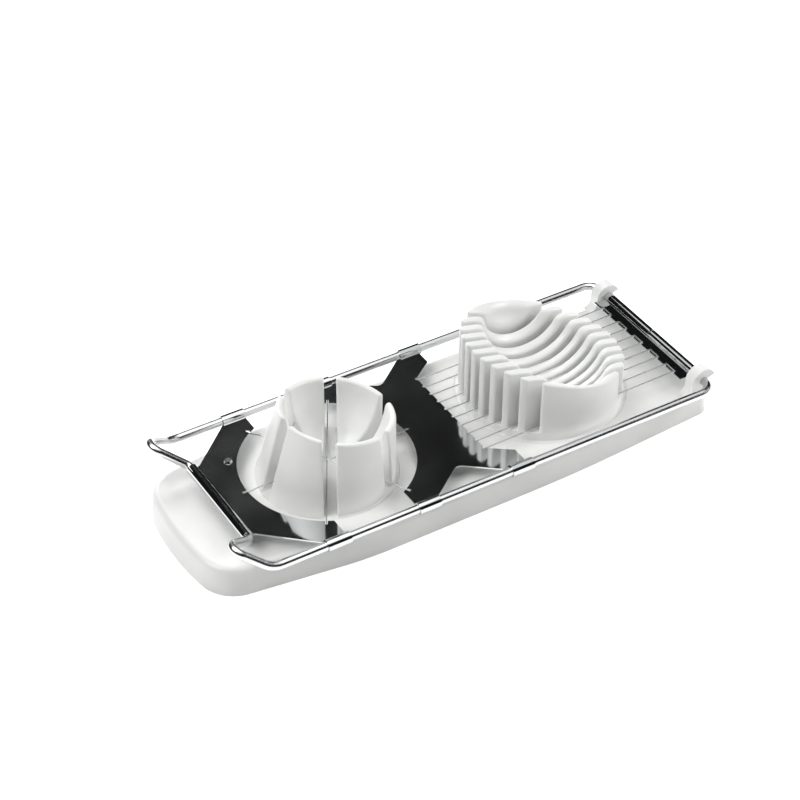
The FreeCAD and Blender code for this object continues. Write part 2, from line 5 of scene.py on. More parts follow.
import bpy
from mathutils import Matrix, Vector


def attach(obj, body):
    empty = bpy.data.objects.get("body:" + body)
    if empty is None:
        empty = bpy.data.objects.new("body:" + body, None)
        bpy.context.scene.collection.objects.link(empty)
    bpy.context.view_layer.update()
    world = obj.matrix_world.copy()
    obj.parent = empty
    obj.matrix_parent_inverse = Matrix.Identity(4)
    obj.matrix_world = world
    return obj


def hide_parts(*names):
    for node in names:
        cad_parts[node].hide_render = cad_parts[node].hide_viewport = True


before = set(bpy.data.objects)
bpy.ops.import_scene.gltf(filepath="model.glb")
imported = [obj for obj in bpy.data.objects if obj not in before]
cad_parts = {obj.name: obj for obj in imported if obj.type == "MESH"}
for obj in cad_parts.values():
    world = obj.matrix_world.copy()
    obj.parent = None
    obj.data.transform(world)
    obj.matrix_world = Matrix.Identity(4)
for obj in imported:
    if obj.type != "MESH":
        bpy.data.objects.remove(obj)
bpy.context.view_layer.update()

bl_info = {
    "name": "Egg Slicer Finishes",
    "version": (1, 0, 0),
    "blender": (4, 5, 0),
    "location": "View3D > Sidebar > Egg Slicer",
    "description": "Gives the egg slicer its finishes and sets a plain studio round it",
    "category": "Object",
}

MM = 0.001

# Sizes of the wedge cup and the slicing bed in millimetres.
TRAY_TOP = 11.1
CUP_SLOT_X = -40.1
CUP_SLOT = 4.4
CUP_RIM_X = -37.5
CUP_RIM_HEIGHT = 37.0
CUP_RIM_RADIUS = 20.9
CUP_TILT = math.radians(8.8)
CUP_FLARE = math.radians(7.7)
CUP_ROUND = 0.994
CUP_WELL_X = -37.4
CUP_WELL_TILT = math.radians(3.0)
CUP_WELL_SEMIS = (18.4, 18.4, 24.0)
FINGER_COUNT = 6
BED_X = 48.1
BED_FOOT_RADIUS = 30.2
BED_FOOT_HEIGHT = 8.9
BED_TAPER = 0.0093
BED_MID_HEIGHT = 32.6
BED_TILT = math.radians(14.0)
BED_FLOOR = 14.7
BED_SLOT = 2.0
DISH_X = 49.6
DISH_HEIGHT = 32.7
DISH_SEMIS = (20.3, 27.2, 16.3)
STRAND_COUNT = 10
STRAND_PITCH = 5.0

# Small forms of the mouldings in millimetres.
FOOT_FLARE = 0.4
FOOT_SINK = 0.2
DRUM_FILLET = 0.6
DRUM_EDGE = 0.25

# The lines in millimetres that the tops of the blocks close on.
# A finger's line runs between two reaches from the hub of the slots.
FINGER_SPINE = (7.0, 15.0)
# An end block's line runs this far to each side of the bed's middle.
END_SPINE_HALF = 9.0

# Steps of the soft blocks' meshes.
EDGE_TURNS = [math.radians(turn) for turn in (0.0, 22.5, 45.0, 67.5, 90.0)]
WALL_SHARES = (0.33, 0.67)
CORNER_STEPS = 5
FINGER_SIDE_STEPS = 80
FINGER_ROUND_STEPS = 28
FINGER_FILL_STEPS = 24
RIB_SIDE_STEPS = 90
RIB_ROUND_STEPS = 3
RIB_FILL_STEPS = 2
END_STEPS = 60
END_FILL_STEPS = 10
DRUM_STEPS = 120
CROWN_PASSES = 3

# Steps in millimetres that find the height and the slope of a carved top.
CARVE_STEP = 1.5
CARVE_HALVINGS = 12
SLOPE_STEP = 0.05
# The most that a steep top stretches the soft edge beside it.
STEEPEST = 3.0

# Distances in millimetres within which places of a mesh become one.
BLOCK_MERGE = 0.015
BLOCK_SLIVER = 0.005
CAD_MERGE = 0.001
# A face of a CAD node no higher than this over the tray's top belongs to its foot.
FOOT_MARGIN = 0.05
# Edges that turn further than this stay sharp.
SMOOTH_ANGLE = math.radians(38.0)

# Sizes in millimetres of the finishes' patterns.
FLOW_SIZE = 24.0
HAZE_SIZE = 14.0
# The skin that a satin mould leaves is finer than this, and is drawn coarser to show.
SKIN_SIZE = 0.9
# How far a pattern moves the roughness, as a step for the plastic and as a share for the steel.
PLASTIC_SWING = 0.05
STEEL_SWING = 0.25
# Tone of the steel's darker lines against its colour.
LINE_TONE = 0.93

# How bright the paper floor looks before a lamp reaches it.
PAPER_GLOW = 0.68
WHITE = (1.0, 1.0, 1.0, 1.0)
FLAG_SIDES = 96

# The place in metres that the lamps face, and each soft box's place and width.
LAMP_TARGET = (0.0, 0.0, 0.02)
SOFT_BOXES = {
    "left": ((-0.8, 0.15, 0.92), 0.7),
    "right": ((1.0, -0.4, 0.6), 0.7),
    "back": ((0.2, 1.1, 0.6), 0.7),
    "top": ((0.0, 0.0, 1.2), 1.0),
}

# The camera's place in metres, the way it looks and the nearest that it sees.
CAMERA_PLACE = Vector((-0.32394, -0.51676, 0.52192))
CAMERA_LOOK = Vector((0.4010, 0.6639, -0.6313))
NEAREST_SEEN = 0.01
# Width of its sensor in millimetres.
SENSOR_WIDTH = 36.0

PLASTIC_PIECES = ("base_tray", "wedge_cup", "slicing_bed")
ROD_PIECES = ("frame_wire",)
SHEET_PIECES = ("front_plate", "middle_plate", "hinge_bar")
WIRE_PIECES = ("slicing_wire", "wedge_wire_1", "wedge_wire_2", "wedge_wire_3", "anchor_rivet")


def linear(hex_colour):
    """An sRGB hex value as linear red, green and blue."""
    shares = [int(hex_colour[start:start + 2], 16) / 255.0 for start in (1, 3, 5)]
    return tuple(s / 12.92 if s <= 0.04045 else ((s + 0.055) / 1.055) ** 2.4 for s in shares)


def per_metre(size_mm):
    """The texture scale whose pattern repeats about once in size_mm."""
    return 1.0 / (size_mm * MM)


class SlicerFinish(bpy.types.PropertyGroup):
    """Colours and gloss of the four finishes."""

    plastic_light: bpy.props.FloatVectorProperty(
        name="Plastic, light",
        description="Lighter tone of the moulded white plastic",
        subtype="COLOR", size=3, min=0.0, max=1.0, default=linear("#F1F1EF"),
    )
    plastic_dark: bpy.props.FloatVectorProperty(
        name="Plastic, dark",
        description="Darker tone of the plastic's faint flow pattern",
        subtype="COLOR", size=3, min=0.0, max=1.0, default=linear("#EAEBE9"),
    )
    plastic_roughness: bpy.props.FloatProperty(
        name="Plastic roughness", description="Middle roughness of the satin mould surface",
        subtype="FACTOR", min=0.0, max=1.0, default=0.33,
    )
    rod_colour: bpy.props.FloatVectorProperty(
        name="Rod colour", description="Drawn stainless rod, polished",
        subtype="COLOR", size=3, min=0.0, max=1.0, default=linear("#D9DADB"),
    )
    rod_roughness: bpy.props.FloatProperty(
        name="Rod roughness", description="Middle roughness of the polished rods",
        subtype="FACTOR", min=0.0, max=1.0, default=0.18,
    )
    sheet_colour: bpy.props.FloatVectorProperty(
        name="Sheet colour", description="Rolled stainless sheet, mirror polished",
        subtype="COLOR", size=3, min=0.0, max=1.0, default=linear("#D2D4D5"),
    )
    sheet_roughness: bpy.props.FloatProperty(
        name="Sheet roughness", description="Middle roughness of the mirror sheet",
        subtype="FACTOR", min=0.0, max=1.0, default=0.07,
    )
    wire_colour: bpy.props.FloatVectorProperty(
        name="Wire colour", description="Hard-drawn stainless cutting wire",
        subtype="COLOR", size=3, min=0.0, max=1.0, default=linear("#C4C6C8"),
    )
    wire_roughness: bpy.props.FloatProperty(
        name="Wire roughness", description="Roughness of the cutting wire",
        subtype="FACTOR", min=0.0, max=1.0, default=0.24,
    )


class SlicerForm(bpy.types.PropertyGroup):
    """How soft the moulded edges are."""

    finger_edge: bpy.props.FloatProperty(
        name="Finger edge", description="Edge radius of the cup's fingers",
        unit="LENGTH", min=0.0, default=0.9 * MM,
    )
    rim_blend: bpy.props.FloatProperty(
        name="Rim blend", description="Width over which the cup's rim rolls into its well",
        unit="LENGTH", min=0.0, default=1.6 * MM,
    )
    rib_edge: bpy.props.FloatProperty(
        name="Rib edge", description="Edge radius of the slicing bed's ribs",
        unit="LENGTH", min=0.0, default=1.0 * MM,
    )
    dish_blend: bpy.props.FloatProperty(
        name="Dish blend", description="Width over which the bed's rim rolls into its dish",
        unit="LENGTH", min=0.0, default=3.2 * MM,
    )


class SlicerStudio(bpy.types.PropertyGroup):
    """Floor, flag, lamps and camera."""

    floor_width: bpy.props.FloatProperty(
        name="Floor width", description="Width of the plain floor",
        unit="LENGTH", min=1.0, default=8.0,
    )
    floor_colour: bpy.props.FloatVectorProperty(
        name="Floor colour", description="Pale floor that the object stands on",
        subtype="COLOR", size=3, min=0.0, max=1.0, default=linear("#F4F4F4"),
    )
    # The flag is a ring that glows a dim grey and only glossy rays see: a painted dark reflection in
    # the steel and the plastic, not a lit card.
    flag_radius: bpy.props.FloatProperty(
        name="Flag radius", description="Radius of the dark ring of card that the steel mirrors",
        unit="LENGTH", min=0.1, default=0.9,
    )
    flag_low: bpy.props.FloatProperty(
        name="Flag foot", description="Height of the dark ring's lower edge",
        unit="LENGTH", min=0.0, default=0.05,
    )
    flag_high: bpy.props.FloatProperty(
        name="Flag top", description="Height of the dark ring's upper edge",
        unit="LENGTH", min=0.1, default=1.08,
    )
    painted_reflection_colour: bpy.props.FloatVectorProperty(
        name="Flag colour", description="Dark card",
        subtype="COLOR", size=3, min=0.0, max=1.0, default=linear("#191919"),
    )
    left_power: bpy.props.FloatProperty(
        name="Left lamp", description="Power of the soft box at the left",
        unit="POWER", min=0.0, default=8.6,
    )
    right_power: bpy.props.FloatProperty(
        name="Right lamp", description="Power of the soft box at the right",
        unit="POWER", min=0.0, default=10.2,
    )
    back_power: bpy.props.FloatProperty(
        name="Back lamp", description="Power of the soft box behind",
        unit="POWER", min=0.0, default=8.72,
    )
    top_power: bpy.props.FloatProperty(
        name="Top lamp", description="Power of the soft box overhead",
        unit="POWER", min=0.0, default=3.6,
    )
    lens: bpy.props.FloatProperty(
        name="Lens", description="Focal length of the camera in millimetres",
        min=10.0, default=100.0,
    )


def add_node(tree, kind, inputs, **settings):
    """One node with its settings, its socket values and the links that reach it."""
    made = tree.nodes.new(kind)
    for name, value in settings.items():
        setattr(made, name, value)
    for socket, value in inputs.items():
        if isinstance(value, bpy.types.NodeSocket):
            tree.links.new(value, made.inputs[socket])
        else:
            made.inputs[socket].default_value = value
    return made


def new_material(name):
    """An empty node material."""
    material = bpy.data.materials.new(name)
    material.use_nodes = True
    material.node_tree.nodes.clear()
    return material


def dress(pieces, material):
    """Puts a material on the CAD nodes of that finish."""
    for name in pieces:
        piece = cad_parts[name]
        piece.data.materials.clear()
        piece.data.materials.append(material)


def moulded_abs(finish):
    """White ABS out of a satin-polished mould: even, softly glossy, with a faint flow pattern."""
    material = new_material("abs_moulded_white")
    tree = material.node_tree
    place = add_node(tree, "ShaderNodeTexCoord", {})
    flow = add_node(tree, "ShaderNodeTexNoise", {
        "Vector": place.outputs["Object"], "Scale": per_metre(FLOW_SIZE), "Detail": 3.0})
    skin = add_node(tree, "ShaderNodeTexNoise", {
        "Vector": place.outputs["Object"], "Scale": per_metre(SKIN_SIZE), "Detail": 2.0})
    tone = add_node(tree, "ShaderNodeValToRGB", {"Fac": flow.outputs["Fac"]})
    tone.color_ramp.elements[0].position = 0.35
    tone.color_ramp.elements[0].color = (*finish.plastic_dark, 1.0)
    tone.color_ramp.elements[1].position = 0.65
    tone.color_ramp.elements[1].color = (*finish.plastic_light, 1.0)
    gloss = add_node(tree, "ShaderNodeMapRange", {
        "Value": flow.outputs["Fac"], "From Min": 0.3, "From Max": 0.7,
        "To Min": finish.plastic_roughness - PLASTIC_SWING,
        "To Max": finish.plastic_roughness + PLASTIC_SWING})
    grain = add_node(tree, "ShaderNodeBump", {
        "Height": skin.outputs["Fac"], "Strength": 0.12, "Distance": 0.01 * MM})
    surface = add_node(tree, "ShaderNodeBsdfPrincipled", {
        "Base Color": tone.outputs["Color"], "Roughness": gloss.outputs["Result"],
        "Normal": grain.outputs["Normal"], "IOR": 1.54,
        "Subsurface Weight": 0.12, "Subsurface Scale": 1.2 * MM,
        "Subsurface Radius": (1.0, 0.95, 0.9)})
    add_node(tree, "ShaderNodeOutputMaterial", {"Surface": surface.outputs["BSDF"]})
    return material


def worked_steel(name, colour, roughness, line_mm, stretch, depth_mm):
    """Stainless steel with fine lines from its working, long in one direction and close across it."""
    material = new_material(name)
    tree = material.node_tree
    place = add_node(tree, "ShaderNodeTexCoord", {})
    # Real lines lie hundredths of a millimetre apart, and are drawn coarser to show.
    drawn = add_node(tree, "ShaderNodeMapping", {
        "Vector": place.outputs["Object"], "Scale": stretch})
    lines = add_node(tree, "ShaderNodeTexNoise", {
        "Vector": drawn.outputs["Vector"], "Scale": per_metre(line_mm), "Detail": 4.0})
    haze = add_node(tree, "ShaderNodeTexNoise", {
        "Vector": place.outputs["Object"], "Scale": per_metre(HAZE_SIZE), "Detail": 3.0})
    tone = add_node(tree, "ShaderNodeValToRGB", {"Fac": lines.outputs["Fac"]})
    tone.color_ramp.elements[0].position = 0.3
    tone.color_ramp.elements[0].color = (*(LINE_TONE * channel for channel in colour), 1.0)
    tone.color_ramp.elements[1].position = 0.7
    tone.color_ramp.elements[1].color = (*colour, 1.0)
    gloss = add_node(tree, "ShaderNodeMapRange", {
        "Value": haze.outputs["Fac"], "From Min": 0.3, "From Max": 0.7,
        "To Min": (1.0 - STEEL_SWING) * roughness, "To Max": (1.0 + STEEL_SWING) * roughness})
    scratch = add_node(tree, "ShaderNodeBump", {
        "Height": lines.outputs["Fac"], "Strength": 0.06, "Distance": depth_mm * MM})
    surface = add_node(tree, "ShaderNodeBsdfPrincipled", {
        "Base Color": tone.outputs["Color"], "Metallic": 1.0,
        "Roughness": gloss.outputs["Result"], "Normal": scratch.outputs["Normal"]})
    add_node(tree, "ShaderNodeOutputMaterial", {"Surface": surface.outputs["BSDF"]})
    return material


class SLICER_OT_mould_plastic(bpy.types.Operator):
    """Gives the base tray, the wedge cup and the slicing bed their moulded white plastic"""

    bl_idname = "slicer.mould_plastic"
    bl_label = "Mould the plastic pieces"

    def execute(self, context):
        dress(PLASTIC_PIECES, moulded_abs(context.scene.slicer_finish))
        return {"FINISHED"}


def heading(angle):
    """The level direction at an angle from the X axis."""
    return Vector((math.cos(angle), math.sin(angle)))


def along(start, end, facing, count, first=0.0, last=0.0):
    """Places on a straight side, each with the way it faces and its share of the spine."""
    return [(start.lerp(end, step / count), heading(facing), first + (last - first) * step / count)
            for step in range(count)]


def around(centre, radius, turn, end_turn, count, first=0.0, last=0.0):
    """Places on a round side, or round a corner when the radius is nothing."""
    found = []
    for step in range(count):
        share = step / count
        facing = heading(turn + (end_turn - turn) * share)
        found.append((centre + facing * radius, facing, first + (last - first) * share))
    return found


def soft_least(one, other, blend):
    """The lower of two heights, with the corner between them rounded over a blend."""
    if other >= one + blend:
        return one
    share = max(0.0, 0.5 + 0.5 * (other - one) / blend)
    return other + (one - other) * share - blend * share * (1.0 - share)


def steepness(top, point):
    """How much longer a step straight down is than a step square to the top."""
    x, y, step = point.x, point.y, SLOPE_STEP
    rise_x = (top(x + step, y) - top(x - step, y)) / (2.0 * step)
    rise_y = (top(x, y + step) - top(x, y - step)) / (2.0 * step)
    return min(STEEPEST, math.sqrt(1.0 + rise_x ** 2 + rise_y ** 2))


def crown_heights(outline, top, base):
    """The height of the top over each place of an outline that itself leans with height."""
    heights = [base] * len(outline(base))
    for _ in range(CROWN_PASSES):
        places = [outline(height)[index][0] for index, height in enumerate(heights)]
        heights = [round(top(place.x, place.y), 1) for place in places]
    return heights


def edge_ring(drawn, top, soft, turn):
    """One ring of a soft edge, from upright at no turn to level at a quarter turn."""
    ring = []
    for place, facing, _ in drawn:
        point = place + facing * (soft * math.cos(turn))
        drop = soft * (1.0 - math.sin(turn)) * steepness(top, point)
        ring.append((point.x, point.y, top(point.x, point.y) - drop))
    return ring


def wall_ring(outline, soft, heights):
    """One ring of upright wall, each place at its own height."""
    ring = []
    for index, height in enumerate(heights):
        place, facing, _ = outline(round(height, 1))[index]
        point = place + facing * soft
        ring.append((point.x, point.y, height))
    return ring


def soft_block(outline, spine, top, soft, fill_steps, base, flare):
    """Rings of a moulded block: a flared foot, upright walls, a soft edge and a shaped top."""
    drawings = {}

    def drawing(height):
        if height not in drawings:
            drawings[height] = outline(height)
        return drawings[height]

    crowns = crown_heights(drawing, top, base)
    drawn = [drawing(crown)[index] for index, crown in enumerate(crowns)]
    edge = [edge_ring(drawn, top, soft, turn) for turn in EDGE_TURNS]
    foot = base + flare
    rings = []
    for level in (base - FOOT_SINK, base):
        rings.append(wall_ring(drawing, soft + flare, [level] * len(drawn)))
    for share in (0.0, *WALL_SHARES):
        rings.append(wall_ring(drawing, soft, [foot + (z - foot) * share for _, _, z in edge[0]]))
    rings += edge
    for step in range(1, fill_steps + 1):
        inner = [place.lerp(spine[0].lerp(spine[1], share), step / fill_steps)
                 for place, _, share in drawn]
        rings.append([(point.x, point.y, top(point.x, point.y)) for point in inner])
    return rings


def take(piece):
    """Selects one object alone and makes it the active one."""
    bpy.ops.object.select_all(action="DESELECT")
    piece.select_set(True)
    bpy.context.view_layer.objects.active = piece


def add_blocks(name, blocks, capped):
    """One mesh object of moulded blocks, with doubled places merged and faces turned outwards."""
    places, faces = [], []
    for rings in blocks:
        start, count = len(places), len(rings[0])
        places += [Vector(place) * MM for ring in rings for place in ring]
        for level in range(len(rings) - 1):
            low = start + level * count
            for index in range(count):
                follow = (index + 1) % count
                faces.append((low + index, low + follow, low + count + follow, low + count + index))
        if capped:
            faces.append(tuple(range(start + count - 1, start - 1, -1)))
    mesh = bpy.data.meshes.new(name)
    mesh.from_pydata(places, [], faces)
    piece = bpy.data.objects.new(name, mesh)
    bpy.context.scene.collection.objects.link(piece)
    take(piece)
    bpy.ops.object.mode_set(mode="EDIT")
    bpy.ops.mesh.select_all(action="SELECT")
    bpy.ops.mesh.remove_doubles(threshold=BLOCK_MERGE * MM)
    bpy.ops.mesh.dissolve_degenerate(threshold=BLOCK_SLIVER * MM)
    bpy.ops.mesh.normals_make_consistent(inside=False)
    bpy.ops.object.mode_set(mode="OBJECT")
    return piece


def copy_foot(node):
    """A merged copy of a CAD node, left with the faces that lie below the tray's top."""
    foot = bpy.data.objects.new(node + "_foot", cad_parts[node].data.copy())
    bpy.context.scene.collection.objects.link(foot)
    take(foot)
    bpy.ops.mesh.customdata_custom_splitnormals_clear()
    bpy.ops.object.mode_set(mode="EDIT")
    bpy.ops.mesh.select_mode(type="FACE")
    bpy.ops.mesh.select_all(action="SELECT")
    bpy.ops.mesh.remove_doubles(threshold=CAD_MERGE * MM)
    bpy.ops.mesh.select_all(action="DESELECT")
    bpy.ops.object.mode_set(mode="OBJECT")
    for face in foot.data.polygons:
        face.select = face.center.z > (TRAY_TOP + FOOT_MARGIN) * MM
    bpy.ops.object.mode_set(mode="EDIT")
    bpy.ops.mesh.delete(type="FACE")
    bpy.ops.object.mode_set(mode="OBJECT")
    return foot


def finish_moulding(piece, foot, node):
    """Joins the blocks and their foot, smooths them and puts them in the CAD node's place."""
    take(piece)
    foot.select_set(True)
    bpy.ops.object.join()
    bpy.ops.object.shade_smooth_by_angle(angle=SMOOTH_ANGLE)
    piece.data.materials.clear()
    piece.data.materials.append(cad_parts[node].data.materials[0])
    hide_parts(node)
    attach(piece, "base")


def cup_circle(height):
    """Middle and radius of the leaning cup's level section."""
    across, rise = CUP_RIM_RADIUS * math.cos(CUP_TILT), CUP_RIM_RADIUS * math.sin(CUP_TILT)
    left = CUP_RIM_X - across - (CUP_RIM_HEIGHT + rise - height) * math.tan(CUP_TILT + CUP_FLARE)
    right = CUP_RIM_X + across - (CUP_RIM_HEIGHT - rise - height) * math.tan(CUP_TILT - CUP_FLARE)
    return Vector(((left + right) / 2.0, 0.0)), CUP_ROUND * (right - left) / 2.0


def egg_distance(across, y, rise, tilt, semis):
    """About how far a place is outside a leaning egg-shaped hollow, less than nothing inside it."""
    lean, upright = math.sin(tilt), math.cos(tilt)
    local_x = (across * upright - rise * lean) / semis[0]
    local_z = (across * lean + rise * upright) / semis[2]
    return (math.sqrt(local_x ** 2 + (y / semis[1]) ** 2 + local_z ** 2) - 1.0) * min(semis)


def carved_height(rim, distance, blend):
    """The height left of a rim that a hollow is cut into, the edge between them rolled over."""
    high = low = rim
    while soft_least(rim - low, distance(low), blend) <= 0.0:
        high, low = low, low - CARVE_STEP
    for _ in range(CARVE_HALVINGS):
        middle = (high + low) / 2.0
        if soft_least(rim - middle, distance(middle), blend) > 0.0:
            low = middle
        else:
            high = middle
    return low


def cup_top(x, y, blend):
    """Height of the cup's tilted rim and the deep well for an egg's end."""
    rim = CUP_RIM_HEIGHT - math.tan(CUP_TILT) * (x - CUP_RIM_X)
    return carved_height(rim, lambda z: egg_distance(
        x - CUP_WELL_X, y, z - CUP_RIM_HEIGHT, CUP_WELL_TILT, CUP_WELL_SEMIS), blend)


def finger_outline(middle, soft, height):
    """A finger's outline at a height, drawn in by its edge radius."""
    centre, radius = cup_circle(height)
    reach = radius - soft
    half = math.pi / FINGER_COUNT
    square = math.pi / 2.0
    tip = Vector((CUP_SLOT_X, 0.0)) + heading(middle) * ((CUP_SLOT / 2.0 + soft) / math.sin(half))
    corners, turns = [], []
    for side in (middle - half, middle + half):
        run = (tip - centre).dot(heading(side))
        length = math.sqrt(run ** 2 - (tip - centre).length_squared + reach ** 2) - run
        corner = tip + heading(side) * length
        turn = math.atan2(corner.y, corner.x - centre.x) - middle
        corners.append(corner)
        turns.append(middle + (turn + math.pi) % (2.0 * math.pi) - math.pi)
    right, left = middle - half - square, middle + half + square
    return (along(tip, corners[0], right, FINGER_SIDE_STEPS, 0.0, 1.0)
            + around(corners[0], 0.0, right, turns[0], CORNER_STEPS, 1.0, 1.0)
            + around(centre, reach, turns[0], turns[1], FINGER_ROUND_STEPS, 1.0, 1.0)
            + around(corners[1], 0.0, turns[1], left, CORNER_STEPS, 1.0, 1.0)
            + along(corners[1], tip, left, FINGER_SIDE_STEPS, 1.0, 0.0)
            + around(tip, 0.0, left, right + 2.0 * math.pi, CORNER_STEPS))


def finger_rings(middle, form):
    """The rings of one finger that stands in the middle between two slots."""
    soft = form.finger_edge / MM
    blend = form.rim_blend / MM
    hub = Vector((CUP_SLOT_X, 0.0))
    spine = [hub + heading(middle) * reach for reach in FINGER_SPINE]
    return soft_block(lambda height: finger_outline(middle, soft, height), spine,
                      lambda x, y: cup_top(x, y, blend), soft, FINGER_FILL_STEPS,
                      TRAY_TOP, FOOT_FLARE)


class SLICER_OT_form_cup(bpy.types.Operator):
    """Forms the wedge cup's six soft-edged fingers on the foot of its CAD node"""

    bl_idname = "slicer.form_cup"
    bl_label = "Form the wedge cup"

    def execute(self, context):
        form = context.scene.slicer_form
        middles = [math.pi * (2 * finger + 1) / FINGER_COUNT for finger in range(FINGER_COUNT)]
        blocks = [finger_rings(middle, form) for middle in middles]
        fingers = add_blocks("wedge_cup_soft", blocks, False)
        finish_moulding(fingers, copy_foot("wedge_cup"), "wedge_cup")
        return {"FINISHED"}


def bed_circle(height):
    """Middle and radius of the slicing bed's drum."""
    return Vector((BED_X, 0.0)), BED_FOOT_RADIUS - BED_TAPER * (height - BED_FOOT_HEIGHT)


def bed_top(x, y, blend):
    """Height of the bed's tilted rim and the egg-shaped dish in it."""
    rim = BED_MID_HEIGHT - math.tan(BED_TILT) * (x - BED_X)
    return carved_height(rim, lambda z: egg_distance(
        x - DISH_X, y, z - DISH_HEIGHT, BED_TILT, DISH_SEMIS), blend)


def drum_rings():
    """The rings of the solid drum under the ribs, with a small fillet at its foot."""
    def ring(reach, height):
        places = around(Vector((BED_X, 0.0)), reach, 0.0, 2.0 * math.pi, DRUM_STEPS)
        return [(place.x, place.y, height) for place, _, _ in places]

    rings = [ring(BED_FOOT_RADIUS + DRUM_FILLET, TRAY_TOP - FOOT_SINK)]
    for turn in EDGE_TURNS:
        reach = BED_FOOT_RADIUS + DRUM_FILLET * (1.0 - math.sin(turn))
        rings.append(ring(reach, TRAY_TOP + DRUM_FILLET * (1.0 - math.cos(turn))))
    edge = bed_circle(BED_FLOOR)[1]
    for turn in EDGE_TURNS:
        reach = edge - DRUM_EDGE * (1.0 - math.cos(turn))
        rings.append(ring(reach, BED_FLOOR - DRUM_EDGE * (1.0 - math.sin(turn))))
    rings.append(ring(0.0, BED_FLOOR))
    return rings


def rib_outline(low, high, soft, height):
    """A rib's outline between two slots, drawn in by its edge radius."""
    centre, radius = bed_circle(height)
    reach = radius - soft
    near, far = math.asin((low + soft) / reach), math.asin((high - soft) / reach)
    square, back = math.pi / 2.0, math.pi
    right_near, right_far, left_far, left_near = (
        centre + heading(turn) * reach for turn in (near, far, back - far, back - near))
    return (along(left_near, right_near, -square, RIB_SIDE_STEPS, 0.0, 1.0)
            + around(right_near, 0.0, -square, near, CORNER_STEPS, 1.0, 1.0)
            + around(centre, reach, near, far, RIB_ROUND_STEPS, 1.0, 1.0)
            + around(right_far, 0.0, far, square, CORNER_STEPS, 1.0, 1.0)
            + along(right_far, left_far, square, RIB_SIDE_STEPS, 1.0, 0.0)
            + around(left_far, 0.0, square, back - far, CORNER_STEPS)
            + around(centre, reach, back - far, back - near, RIB_ROUND_STEPS)
            + around(left_near, 0.0, back - near, back + square, CORNER_STEPS))


def end_outline(low, side, soft, height):
    """The outline of the bed's end block beyond its last slot, on either side."""
    centre, radius = bed_circle(height)
    reach = radius - soft
    turn = math.asin((low + soft) / reach)
    square, back = math.pi / 2.0, math.pi
    right, left = centre + heading(turn) * reach, centre + heading(back - turn) * reach
    drawn = (along(left, right, -square, END_STEPS, 0.0, 1.0)
             + around(right, 0.0, -square, turn, CORNER_STEPS, 1.0, 1.0)
             + around(centre, reach, turn, back - turn, END_STEPS, 1.0, 0.0)
             + around(left, 0.0, back - turn, back + square, CORNER_STEPS))
    return [(Vector((place.x, side * place.y)), Vector((facing.x, side * facing.y)), share)
            for place, facing, share in drawn]


def bed_rings(form):
    """The rings of every rib, and of the end block on each side, for a drum that carries them."""
    soft = form.rib_edge / MM
    blend = form.dish_blend / MM

    def top(x, y):
        return bed_top(x, y, blend)

    first = (STRAND_COUNT - 1) * STRAND_PITCH / 2.0
    blocks = []
    for index in range(STRAND_COUNT - 1):
        low = -first + index * STRAND_PITCH + BED_SLOT / 2.0
        high = low + STRAND_PITCH - BED_SLOT
        middle = (low + high) / 2.0
        half = math.sqrt((BED_FOOT_RADIUS - soft) ** 2 - middle ** 2) - soft
        spine = (Vector((BED_X - half, middle)), Vector((BED_X + half, middle)))
        blocks.append(soft_block(lambda height: rib_outline(low, high, soft, height),
                                 spine, top, soft, RIB_FILL_STEPS, BED_FLOOR, 0.0))
    outermost = first + BED_SLOT / 2.0
    for side in (1.0, -1.0):
        middle = side * (outermost + BED_FOOT_RADIUS) / 2.0
        spine = [Vector((BED_X + reach, middle)) for reach in (-END_SPINE_HALF, END_SPINE_HALF)]
        blocks.append(soft_block(lambda height: end_outline(outermost, side, soft, height),
                                 spine, top, soft, END_FILL_STEPS, BED_FLOOR, 0.0))
    return blocks


class SLICER_OT_form_bed(bpy.types.Operator):
    """Forms the slicing bed's soft-edged ribs on the foot of its CAD node"""

    bl_idname = "slicer.form_bed"
    bl_label = "Form the slicing bed"

    def execute(self, context):
        blocks = [drum_rings(), *bed_rings(context.scene.slicer_form)]
        ribs = add_blocks("slicing_bed_soft", blocks, True)
        finish_moulding(ribs, copy_foot("slicing_bed"), "slicing_bed")
        return {"FINISHED"}


class SLICER_OT_polish_rods(bpy.types.Operator):
    """Gives the bent frame wire its polished rod finish"""

    bl_idname = "slicer.polish_rods"
    bl_label = "Polish the frame wire"

    def execute(self, context):
        finish = context.scene.slicer_finish
        # Drawn rod keeps long faint lines under its polish, so its highlights run as clean stripes.
        steel = worked_steel("stainless_rod_drawn_polished",
                             finish.rod_colour, finish.rod_roughness,
                             line_mm=0.5, stretch=(0.04, 1.0, 1.0), depth_mm=0.004)
        dress(ROD_PIECES, steel)
        return {"FINISHED"}


class SLICER_OT_polish_sheets(bpy.types.Operator):
    """Gives the two plates and the rolled hinge bar their mirror-polished sheet"""

    bl_idname = "slicer.polish_sheets"
    bl_label = "Polish the sheets"

    def execute(self, context):
        finish = context.scene.slicer_finish
        # Buffed sheet mirrors what stands on it, a little blurred across the buffing lines.
        steel = worked_steel("stainless_sheet_mirror_polished",
                             finish.sheet_colour, finish.sheet_roughness,
                             line_mm=0.6, stretch=(1.0, 0.03, 1.0), depth_mm=0.002)
        dress(SHEET_PIECES, steel)
        return {"FINISHED"}


class SLICER_OT_draw_wires(bpy.types.Operator):
    """Gives the cutting wires and the rivet that anchors them their hard-drawn finish"""

    bl_idname = "slicer.draw_wires"
    bl_label = "Draw the cutting wires"

    def execute(self, context):
        finish = context.scene.slicer_finish
        # Thin drawn wire is greyer than the rods and catches light as one soft line.
        steel = worked_steel("stainless_wire_hard_drawn",
                             finish.wire_colour, finish.wire_roughness,
                             line_mm=0.3, stretch=(0.05, 1.0, 1.0), depth_mm=0.002)
        dress(WIRE_PIECES, steel)
        return {"FINISHED"}


